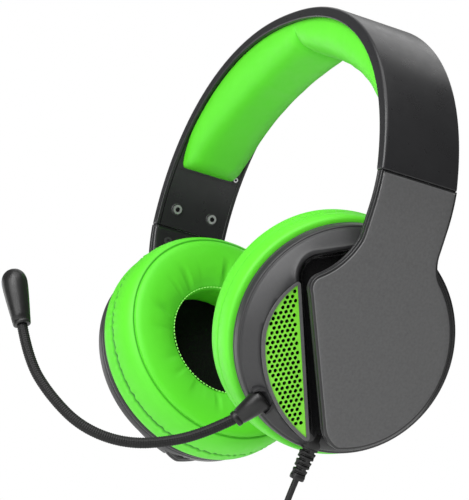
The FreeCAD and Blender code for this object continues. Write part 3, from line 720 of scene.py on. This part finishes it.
def arm_outline():
    """The outline of the neck and the round end plate in the ear's (u, v), as in the CAD design."""
    p = [
        (20.5, 69.9), (-15.5, 69.9), (-15.5, 41.5), (-19.4, 32.3), (-28.6, 22.8), (-30.9, 19.4),
        (-29.7, 14.6), (-6.4, -34.2), (-3.2, -38.9), (2.6, -42.1), (39.2, 0.6), (24.0, 33.45),
        (21.6, 37.6), (20.5, 45),
    ]
    return np.vstack([
        line_points(p[0], p[1], 24), line_points(p[1], p[2], 20), arc_points(p[2], p[3], p[4], 16),
        arc_points(p[4], p[5], p[6], 12), line_points(p[6], p[7], 30), arc_points(p[7], p[8], p[9], 14),
        arc_points(p[9], p[10], p[11], 70), arc_points(p[11], p[12], p[13], 12),
        line_points(p[13], p[0], 16),
    ])


def arm_height(v, depth):
    """w of the arm's sheet at v, this deep below its outer face: flat, then curved up to the band."""
    r = NECK_BEND_R - depth
    lift = np.clip(v - NECK_BEND_V, 0, r * 0.9)
    return (ARM_TOP - depth) - (r - np.sqrt(r * r - lift * lift))


def fill_outline(loop, spacing, keep_off):
    """Points inside an outline and the triangles over them and the outline itself."""
    low, high = loop.min(0), loop.max(0)
    u, v = np.meshgrid(np.arange(low[0], high[0], spacing), np.arange(low[1], high[1], spacing))
    grid = np.stack([u.ravel(), v.ravel()], 1)
    grid = grid[inside(grid, loop)]
    grid = grid[distance(grid, np.vstack([loop, loop[:1]])) > keep_off]
    points = np.vstack([loop, grid])
    count = len(loop)
    edges = [(i, (i + 1) % count) for i in range(count)]
    made = delaunay_2d_cdt([Vector(p) for p in points], edges, [], 1, 1e-6)
    return np.array([tuple(p) for p in made[0]]), [tuple(f) for f in made[2]]


def plate(loop, layers, height, spacing=2.5):
    """A plate over an outline: layers are (inset, depth) down its edge, the first and last filled in."""
    normals = outline_normals(loop)
    count = len(loop)
    top_flat, top_faces = fill_outline(loop - normals * layers[0][0], spacing, spacing * 0.5)
    low_flat, low_faces = fill_outline(loop - normals * layers[-1][0], spacing, spacing * 0.5)
    points = [np.column_stack([top_flat, height(top_flat[:, 1], layers[0][1])])]
    faces = list(top_faces)
    offset = len(top_flat)
    previous = 0
    for inset, depth in layers[1:-1]:
        ring = loop - normals * inset
        points.append(np.column_stack([ring, height(ring[:, 1], depth)]))
        faces += ring_faces(previous, offset, count)
        previous = offset
        offset += count
    points.append(np.column_stack([low_flat, height(low_flat[:, 1], layers[-1][1])]))
    faces += ring_faces(previous, offset, count)
    faces += [tuple(offset + k for k in f)[::-1] for f in low_faces]
    return np.vstack(points), faces


def soft_edge(radius, start=0.0, steps=6):
    """(inset, depth) from a flat top round a quarter circle to an upright wall."""
    return [(start + radius * (1 - math.sin(a)), radius * (1 - math.cos(a)))
            for a in np.linspace(0, math.pi / 2, steps)]


def arm(side):
    loop = resample(arm_outline(), 1.1)
    layers = [(1.5, 0.0), (1.3, 0.04), (1.12, 0.14), (1.05, 0.3), (1.0, 0.42), (0.9, 0.45)]
    layers += [(0.55 * a, 0.45 + b * 0.55) for a, b in soft_edge(1.0)]
    layers += [
        (0.0, 2.3), (0.1, 2.42), (0.34, 2.5), (0.34, 2.8), (0.1, 2.88), (0.0, 3.0), (0.0, ARM_DEPTH - 0.8),
        (0.7, ARM_DEPTH),
    ]
    points, faces = plate(loop, layers, arm_height)
    seam = ARCH_Z + SEAM_RISE - 0.3
    world = to_world(points, side, False)
    over = world[:, 2] > seam
    world[over, 2] = seam
    obj = add_mesh(side + "_arm_outer", world, faces, MATERIALS["textured_black_plastic"])
    mark_side_polish_and_shade(obj, side)
    finish_piece(obj, side + "_arm", "textured_black_plastic", side + "_arm_cover")


def mark_side_polish_and_shade(obj, side):
    """A point attribute that is 1 on the arm's side walls, where the material polishes them and paints shade."""
    local = ear_points(obj, side, False)
    deep = arm_height(local[:, 1], 0.0) - local[:, 2]
    mark_points(obj, "side", smooth_step(deep, 0.1, 0.5))


# ------------------------------------------------------------ cups

def crescent_outline():
    top, widest, bottom = (-31.0, 16.0), (-37.4, -6.5), (-7.4, -41.6)
    return np.vstack([
        arc_points(top, (-36.6, 5.4), widest, 24), arc_points(widest, (-28.3, -26.0), bottom, 44),
        line_points(bottom, top, 56),
    ])


def scoop_path():
    """The scoop's edge: from the ring's top, round the upper front corner and down beside the grille."""
    return np.vstack([
        line_points((14, 47), (-2, 41.5), 14), line_points((-2, 41.5), (-24.8, 31.2), 20),
        arc_points((-24.8, 31.2), (-31.0, 26.2), (-31.8, 18.6), 16),
        line_points((-31.8, 18.6), (-4.2, -46.5), 50), [(-4.2, -46.5), (-3.0, -50)],
    ])


def cup_base(r):
    """The cup's outer surface before the scoop: rim bead, crease and straight shoulder to the flat front."""
    inward = CUP_R - r
    profile = CUP_DOME + [(CUP_R - CUP_FLAT_R, CUP_FLAT), (CUP_R, CUP_FLAT)]
    height = np.interp(inward, *np.transpose(profile))
    soft = sum(np.interp(inward + shift, *np.transpose(profile)) for shift in (-1.2, -0.6, 0.6, 1.2))
    height = height + (soft / 4 - height) * smooth_step(inward, 1.5, 3.0)
    crease = 0.40 * np.exp(-((inward - 1.25) / 0.28) ** 2)
    bead = 0.30 * np.exp(-((inward - 0.5) / 0.35) ** 2)
    return height + bead - crease


def scoop_share(points):
    """0 outside the scoop, 1 on its floor."""
    path = scoop_path()
    region = np.vstack([path, [(60, -50), (60, 60), (14, 60)]])
    signed = distance(points, path) * np.where(inside(points, region), 1, -1)
    return smooth_step(signed, -0.5, 3.6), signed


def cup_height(points):
    r = np.linalg.norm(points, axis=1)
    base = cup_base(r)
    share, signed = scoop_share(points)
    floor = np.minimum(base, SCOOP_W - 0.3)
    lip = 0.28 * np.exp(-((signed + 0.85) / 0.38) ** 2) * smooth_step(base, 5.0, 8.0)
    return base + (floor - base) * share + lip


def offset_path(path, amount):
    along = np.gradient(path, axis=0)
    normal = np.stack([along[:, 1], -along[:, 0]], 1)
    normal /= np.linalg.norm(normal, axis=1)[:, None]
    return path + normal * amount


# Rows of mesh points: this far into the scoop from its edge, and in from the cup's rim
SCOOP_TRACKS = (-1.6, -1.3, -1.05, -0.8, -0.55, -0.3, 0.0, 0.4, 0.9, 1.4, 2.0, 2.7, 3.5)
RIM_TRACKS = (
    0.08, 0.2, 0.35, 0.5, 0.65, 0.8, 0.95, 1.1, 1.25, 1.4, 1.6, 1.9, 2.5, 3.4, 4.3, 5.3, 6.4, 7.6, 8.8, 10.0,
)


def cup_points():
    """Points of the cup's outer surface in (u, v), the edges to keep, and which loop is the opening."""
    around = 288
    angles = 2 * math.pi * np.arange(around) / around
    circle = np.stack([np.cos(angles), np.sin(angles)], 1)
    rim = circle * CUP_R
    opening = resample(crescent_outline(), 0.9)
    opening = opening + outline_normals(opening) * 1.25
    edges = [(i, (i + 1) % around) for i in range(around)]
    edges += [(around + i, around + (i + 1) % len(opening)) for i in range(len(opening))]
    fixed = [rim, opening]
    closed = np.vstack([opening, opening[:1]])
    tracks = []
    for amount in SCOOP_TRACKS:
        track = offset_path(scoop_path(), -amount)
        track = resample(np.vstack([track, track[::-1]]), 1.0)
        track = track[: len(track) // 2]
        track = track[np.linalg.norm(track, axis=1) < CUP_R - 0.6]
        keep = ~inside(track, opening) & (distance(track, closed) > 0.35)
        tracks.append(track[keep])
    loose = [circle * (CUP_R - inward) for inward in RIM_TRACKS]
    grid = np.stack(np.meshgrid(np.arange(-36, 36.1, 1.5), np.arange(-36, 36.1, 1.5)), -1).reshape(-1, 2)
    loose.append(grid[np.linalg.norm(grid, axis=1) < 35.6])
    loose = np.vstack(loose)
    loose = loose[~inside(loose, opening)]
    loose = loose[distance(loose, closed) > 0.4]
    loose = loose[distance(loose, offset_path(scoop_path(), -1.0)) > 3.1]
    return np.vstack(fixed + tracks + [loose]), edges, around, len(opening), opening


CUP_THICK = 1.7
# Down the cup's outer wall to its back edge, with a parting groove: inset from the rim, w
CUP_WALL_BANDS = [
    (0.0, -0.5), (0.0, -0.7), (0.35, -0.85), (0.35, -1.1), (0.0, -1.25), (0.0, CUP_BACK + 0.7),
    (0.6, CUP_BACK), (1.8, CUP_BACK),
]


def ring_faces(a, b, count):
    """Faces between two rings of count points that start at a and b."""
    return [(a + i, a + (i + 1) % count, b + (i + 1) % count, b + i) for i in range(count)]


def cup_shell(side):
    """The cup's outer surface with its opening, an inner skin, and the walls that join them."""
    points, edges, around, hole, opening = cup_points()
    made = delaunay_2d_cdt([Vector(p) for p in points], edges, [], 0, 1e-5)
    flat = np.array([tuple(p) for p in made[0]])
    centres = np.array([flat[list(f)].mean(0) for f in made[2]])
    wanted = ~inside(centres, opening) & (np.linalg.norm(centres, axis=1) < CUP_R)
    faces = [tuple(f) for f, w in zip(made[2], wanted) if w]
    count = len(flat)
    outer = np.column_stack([flat, cup_height(flat)])
    r = np.linalg.norm(flat, axis=1)
    inner = outer.copy()
    inner[:, :2] *= (1 - CUP_THICK / CUP_R * smooth_step(r, 20, CUP_R))[:, None]
    inner[:, 2] = np.maximum(inner[:, 2] - CUP_THICK, -2.0)
    rim = flat[:around]
    extra = [np.column_stack([rim * (1 - inset / CUP_R), np.full(around, w)]) for inset, w in CUP_WALL_BANDS]
    start = 2 * count
    starts = [0] + [start + i * around for i in range(len(extra))] + [count]
    sides = [face for a, b in zip(starts[:-1], starts[1:]) for face in ring_faces(a, b, around)]
    walls = ring_faces(around, count + around, hole)
    faces = faces + [tuple(count + k for k in f)[::-1] for f in faces] + sides + walls
    local = np.vstack([outer, inner] + extra)
    obj = add_mesh(side + "_cup_outer", to_world(local, side), faces, CUP_BLACK)
    mark_scoop_polish_and_shade(obj, side)
    finish_piece(obj, side + "_cup", "textured_black_plastic", side + "_cup_shell")


def mark_scoop_polish_and_shade(obj, side):
    """A point attribute that says how far inside the scoop each point is: the material polishes it there and
    paints shade.
    """
    _, signed = scoop_share(ear_points(obj, side)[:, :2])
    mark_points(obj, "scoop", smooth_step(signed, -0.2, 1.4))


CUSHION_PROFILE = [
    (31.0, -5.2), (39.0, -5.1), (43.8, -5.1), (47.2, -5.3), (48.6, -6.1), (49.2, -7.6), (49.5, -9.5),
    (49.5, -11.6), (49.6, -13.6), (49.7, -16.5), (49.6, -20.0), (49.1, -23.0), (48.2, -25.4),
    (46.9, -27.2), (45.4, -28.1), (43.0, -28.8), (39.5, -29.1), (36.0, -28.9), (32.5, -28.3),
    (29.2, -27.2), (26.6, -25.8), (25.0, -24.6), (24.1, -23.2), (24.2, -20.5), (24.6, -16.5),
    (24.9, -12.0), (25.3, -8.4), (26.6, -5.9),
]
CUSHION_CORE = (37.0, -17.0)      # r and w of the middle of its section
GATHER_W = -14.4                  # the gathered seam of the base
GATHER_MIN_R = 44                 # it lies outside this radius
FACE_SEAM_R = 46.1                # the seam of the face
FACE_SEAM_W = -24                 # it lies beyond this
# How strongly the base seam shows on each cushion: the depth of its groove and the strength of the painted shade
# in it.
SEAM_SHOWS = {"left": 0.25, "right": 1.0}
CUSHION_SEED = {"left": 3, "right": 8}
STITCH_R = 24.7
STITCH_W = -24.6


def smooth_profile(points, steps):
    """A closed Catmull-Rom curve through points, evenly stepped per span."""
    points = np.array(points, float)
    count = len(points)
    out = []
    for i in range(count):
        a, b, c, d = (points[(i + k - 1) % count] for k in range(4))
        for s in range(steps):
            t = s / steps
            out.append(0.5 * (2 * b + (c - a) * t + (2 * a - 5 * b + 4 * c - d) * t * t
                              + (3 * b - a - 3 * c + d) * t ** 3))
    return np.array(out)


def cushion(side):
    """A leatherette ring over foam: gathered at the base seam, seamed at the face and puckered inside."""
    profile = smooth_profile(CUSHION_PROFILE, 7)
    around = 420
    angles = 2 * math.pi * np.arange(around) / around
    seed = CUSHION_SEED[side]
    pucker = -1.7 * np.clip(waves(seed, angles, (9, 14, 19, 27)), 0, 1) ** 1.3
    gather = SEAM_SHOWS[side] * waves(seed + 1, angles, (53, 67, 83, 101, 119))
    sag = waves(seed + 2, angles, (2, 3, 5, 7))
    rings = []
    for r, w in profile:
        out = unit((r - CUSHION_CORE[0], w - CUSHION_CORE[1]))
        near_hole = math.exp(-((r - 30.5) / 5.0) ** 2) * (w < -18)
        near_base = math.exp(-((w - GATHER_W) / 2.8) ** 2) * (r > GATHER_MIN_R)
        seam = math.exp(-((r - FACE_SEAM_R) / 0.30) ** 2) * (w < FACE_SEAM_W)
        shoulder = math.exp(-((r - FACE_SEAM_R) / 1.6) ** 2) * (w < FACE_SEAM_W)
        groove = math.exp(-((w - GATHER_W) / 0.65) ** 2) * (r > GATHER_MIN_R)
        lift = 1.1 * near_hole * pucker + 0.8 * near_base * gather
        lift = lift + 0.40 * sag * math.exp(-((w + 20) / 9) ** 2) - 0.75 * seam - 0.35 * shoulder
        lift = lift - (1.0 * SEAM_SHOWS[side] + 0.2 + 0.5 * gather) * groove
        ring_r = r + out[0] * lift
        ring_w = w + out[1] * lift
        rings.append(np.stack([ring_r * np.cos(angles), ring_r * np.sin(angles), ring_w], 1))
    points, faces = rings_mesh(rings, wrap=True)
    obj = add_mesh(side + "_ear_cushion", to_world(points, side), faces, MATERIALS["green_leatherette"])
    finish_piece(obj, side + "_cup", "green_leatherette", side + "_cushion")
    mark_seam_shade(obj, side)
    stitches(side)


def mark_seam_shade(obj, side):
    """A point attribute that is 1 down in the cushion's two seams, where the material paints shade."""
    local = ear_points(obj, side)
    r, w = np.linalg.norm(local[:, :2], axis=1), local[:, 2]
    gathered = np.exp(-((w - GATHER_W) / 0.7) ** 2) * (r > GATHER_MIN_R) * SEAM_SHOWS[side]
    face = 0.8 * np.exp(-((r - FACE_SEAM_R) / 0.35) ** 2) * (w < FACE_SEAM_W)
    mark_points(obj, "seam", np.clip(gathered + face, 0, 1))


def stitches(side):
    """The light thread round the edge of the cushion's opening."""
    count, steps = 96, 6
    points, faces = [], []
    for i in range(count):
        ring = []
        for k in range(steps + 1):
            angle = 2 * math.pi * (i + 0.68 * k / steps) / count
            thick = 0.27 * math.sin(math.pi * (0.12 + 0.76 * k / steps)) ** 0.5
            out = np.array([math.cos(angle), math.sin(angle), 0])
            place = out * STITCH_R + np.array([0, 0, STITCH_W - 0.35])
            turn = [out * math.cos(a) + np.array([0, 0, math.sin(a)])
                    for a in np.linspace(0, 2 * math.pi, 8, endpoint=False)]
            ring.append([place + d * thick for d in turn])
        more, new = rings_mesh(ring)
        faces += [tuple(len(points) + f for f in face) for face in new]
        points.extend(more)
    obj = add_mesh(side + "_cushion_stitches", to_world(points, side), faces, THREAD)
    finish_piece(obj, side + "_cup", "green_leatherette")


# ------------------------------------------------------------ microphone and strain relief

def axis_frame(direction):
    """An axis and two directions across it."""
    direction = unit(direction)
    across = unit(np.cross(direction, (0.0, 0.0, 1.0) if abs(direction[2]) < 0.9 else (1.0, 0.0, 0.0)))
    return direction, across, np.cross(direction, across)


def turned_piece(profile, start, direction, around=64, shape=None):
    """A solid of revolution from (along, radius) pairs; shape may change the radius by angle."""
    direction, a, b = axis_frame(direction)
    angles = 2 * math.pi * np.arange(around) / around
    rings = []
    for along, r in profile:
        radius = r * np.ones(around) if shape is None else shape(along, r, angles)
        rings.append(np.asarray(start) + direction * along + np.cos(angles)[:, None] * a * radius[:, None]
                     + np.sin(angles)[:, None] * b * radius[:, None])
    return rings_mesh(rings)


BOOM_ROUTE = [
    (53.3, -37.0, -169.8), (49.4, -45.6, -176.9), (42.6, -58.0, -184.2), (33.4, -74.4, -188.6),
    (23.7, -90.2, -185.0), (14.3, -102.0, -174.2), (5.7, -110.3, -161.2), (0.4, -113.7, -146.9),
]
GOOSE_R = 2.1


def spline_points(route, steps):
    """Points along a quadratic spline with these control points."""
    curve = bpy.data.curves.new("route", "CURVE")
    curve.dimensions = "3D"
    curve.resolution_u = steps
    spline = curve.splines.new("NURBS")
    spline.points.add(len(route) - 1)
    for point, place in zip(spline.points, route):
        point.co = (*place, 1.0)
    spline.order_u = 3
    spline.use_endpoint_u = True
    holder = bpy.data.objects.new("route", curve)
    mesh = bpy.data.meshes.new_from_object(holder)
    points = np.array([v.co[:] for v in mesh.vertices])
    bpy.data.meshes.remove(mesh)
    bpy.data.objects.remove(holder)
    bpy.data.curves.remove(curve)
    return points


def gooseneck():
    """The boom's flexible neck under its braided sleeve."""
    path = spline_points(BOOM_ROUTE, 80)
    steps = np.linalg.norm(np.diff(path, axis=0), axis=1)
    total = np.concatenate([[0], np.cumsum(steps)])
    where = np.arange(0, total[-1] + 0.12, 0.24)
    path = np.stack([np.interp(where, total, path[:, i]) for i in range(3)], 1)
    along = np.gradient(path, axis=0)
    along /= np.linalg.norm(along, axis=1)[:, None]
    around = 56
    angles = 2 * math.pi * np.arange(around) / around
    side = unit(np.cross(along[0], (0, 0, 1)))
    rings = []
    for place, direction, s in zip(path, along, where):
        side = unit(side - direction * (side @ direction))
        other = np.cross(direction, side)
        braid = np.sin(8 * angles + s * 3.3) * np.sin(8 * angles - s * 3.3)
        radius = GOOSE_R - 0.03 + 0.15 * braid + 0.03 * math.sin(s * 6.6)
        across = np.cos(angles)[:, None] * side + np.sin(angles)[:, None] * other
        rings.append(place + radius[:, None] * across)
    obj = add_mesh("mic_gooseneck_braid", *rings_mesh(rings), BRAID)
    finish_piece(obj, "mic_boom", "black_rubber", "mic_gooseneck")


def mic_sleeve():
    """The tapered sleeve by which the boom turns on the cup."""
    hub = np.array(JOINTS["mic_swing"]["pos_m"], float) / MM
    out = unit(np.array(BOOM_ROUTE[0]) - hub)
    length = float(np.linalg.norm(np.array(BOOM_ROUTE[0]) - hub)) + 2.6
    profile = [
        (-1.9, 0.4), (-1.88, 2.8), (-1.75, 3.8), (-1.4, 4.4), (-0.8, 4.75), (0.0, 4.86), (1.6, 4.8),
        (length - 2.6, 3.40), (length - 2.45, 3.15), (length - 2.1, 3.12), (length - 1.95, 3.38),
        (length - 0.5, 3.28), (length - 0.1, 3.1), (length, 2.8), (length, 2.0),
    ]
    obj = add_mesh("mic_sleeve_outer", *turned_piece(profile, hub, out, 72), MATERIALS["soft_touch_black"])
    finish_piece(obj, "mic_boom", "soft_touch_black", "mic_sleeve")


def mic_housing():
    """The tapered capsule housing with a rounded end; its small sound hole facing the mouth is not modelled."""
    start = np.array(BOOM_ROUTE[-1])
    direction = start - np.array(BOOM_ROUTE[-2])
    profile = [(0.0, 2.0), (0.0, 3.2), (0.12, 3.45), (0.4, 3.6), (1.3, 3.72), (1.42, 3.58), (1.62, 3.58),
               (1.74, 3.76), (4, 4.0), (8, 4.45), (12, 4.85), (15, 5.12), (17, 5.25), (18.6, 5.3), (20, 5.18),
               (21.2, 4.85), (22.2, 4.4), (23.1, 3.7), (23.8, 2.85), (24.2, 2.0), (24.45, 1.1), (24.5, 0.3)]
    obj = add_mesh("mic_capsule", *turned_piece(profile, start, direction, 72), MATERIALS["soft_touch_black"])
    finish_piece(obj, "mic_boom", "soft_touch_black", "mic_housing")


RELIEF_ROOT = (-0.7, -38.5, 2.6)      # in the left cup's frame; the relief points away from it
RELIEF_LENGTH = 16.4


def strain_relief():
    """The cable's bend relief: a collar, three pairs of slots and a small end lip."""
    end = np.array(LEAD_ROUTE[0])
    direction = unit(end - to_world([RELIEF_ROOT], "left")[0])
    start = end - direction * RELIEF_LENGTH
    profile = [(-4.0, 3.8), (0.4, 3.9), (1.7, 3.9), (2.1, 3.75), (2.4, 3.5)]
    profile += [(2.5 + 0.15 * i, 3.55 - 0.008 * i) for i in range(78)]
    profile += [(14.3, 3.0), (14.6, 3.15), (15.9, 3.05), (16.25, 2.8), (RELIEF_LENGTH, 1.4)]

    def slots(along, r, angles):
        radius = r * np.ones_like(angles)
        if 2.6 < along < 14.1:
            step, place = divmod(along - 2.8, 1.9)
            deep = math.exp(-((place - 0.95) / 0.42) ** 6)
            arc = smooth_step(np.abs(np.cos(angles + step * math.pi / 2)), 0.18, 0.42)
            radius = radius + 0.05 - 0.9 * deep * arc
        return radius

    obj = add_mesh("cable_strain_relief", *turned_piece(profile, start, direction, 64, slots),
                   MATERIALS["black_rubber"])
    finish_piece(obj, "left_cup", "black_rubber", "strain_relief")


# ------------------------------------------------------------ light and floor

def area_light(name, place, aim, width, height, power):
    data = bpy.data.lights.new(name, "AREA")
    data.shape = "RECTANGLE"
    data.size, data.size_y, data.energy = width, height, power
    light = bpy.data.objects.new(name, data)
    light.location = place
    light.rotation_mode = "QUATERNION"
    light.rotation_quaternion = (Vector(aim) - Vector(place)).to_track_quat("-Z", "Y")
    light.visible_camera = False
    bpy.context.scene.collection.objects.link(light)


# Lights: name, place right, up and towards the camera from the object (m), size, power
LIGHTS = [
    ("left_soft", (-1.2, 0.3, 0.8), (1.0, 1.4), 1.5),
    ("top_soft", (0.2, 1.3, 0.3), (1.2, 1.0), 10),
    ("top_rim", (0.3, 0.95, -1.0), (1.3, 0.9), 4),
    ("far_left", (-1.0, -0.3, -0.7), (0.8, 0.9), 5),
    ("near_left", (-0.34, 0.16, 0.40), (0.3, 0.3), 1.1),
    ("front", (-0.14, 0.34, 0.34), (0.3, 0.3), 2.0),
]
WORLD_STRENGTH = 0.20


def studio():
    scene = bpy.context.scene
    scene.view_settings.view_transform = "Standard"
    world = bpy.data.worlds.new("studio")
    scene.world = world
    world.use_nodes = True
    nodes, links = world.node_tree.nodes, world.node_tree.links
    background = nodes["Background"]
    background.inputs["Color"].default_value = (1, 1, 1, 1)
    background.inputs["Strength"].default_value = WORLD_STRENGTH
    backdrop = nodes.new("ShaderNodeBackground")
    backdrop.inputs["Color"].default_value = (1, 1, 1, 1)
    path = nodes.new("ShaderNodeLightPath")
    mix = nodes.new("ShaderNodeMixShader")
    links.new(path.outputs["Is Camera Ray"], mix.inputs["Fac"])
    links.new(background.outputs["Background"], mix.inputs[1])
    links.new(backdrop.outputs["Background"], mix.inputs[2])
    links.new(mix.outputs["Shader"], nodes["World Output"].inputs["Surface"])
    axes = bpy.context.scene.camera.matrix_world.to_3x3()
    for name, place, size, power in LIGHTS:
        area_light(name, CAMERA_TARGET + axes @ Vector(place), CAMERA_TARGET, *size, power)


FLOOR_HALF = 900
FLOOR_GAP = 30            # below the coil of cable


def floor():
    h, z = FLOOR_HALF, CAD_LOW.z / MM - FLOOR_GAP
    m = Material("floor", (0.85, 0.85, 0.85), 0.6, Emission_Color=(1, 1, 1, 1), Emission_Strength=0.45)
    m.colour(m.mix(m.noise(3), (0.84, 0.84, 0.84), (0.86, 0.86, 0.86)))
    corners = [(-h, -h, z), (h, -h, z), (h, h, z), (-h, h, z)]
    ground = add_mesh("floor", corners, [(0, 1, 2, 3)], m.material)


make_camera()
dress_cad_nodes()
make_cable(MATERIALS["black_rubber"])
band_shell()
for side in SIDES:
    pad(side)
    arm(side)
    cup_shell(side)
    cushion(side)
    screw_heads(side)
gooseneck()
mic_sleeve()
mic_housing()
strain_relief()
floor()
studio()
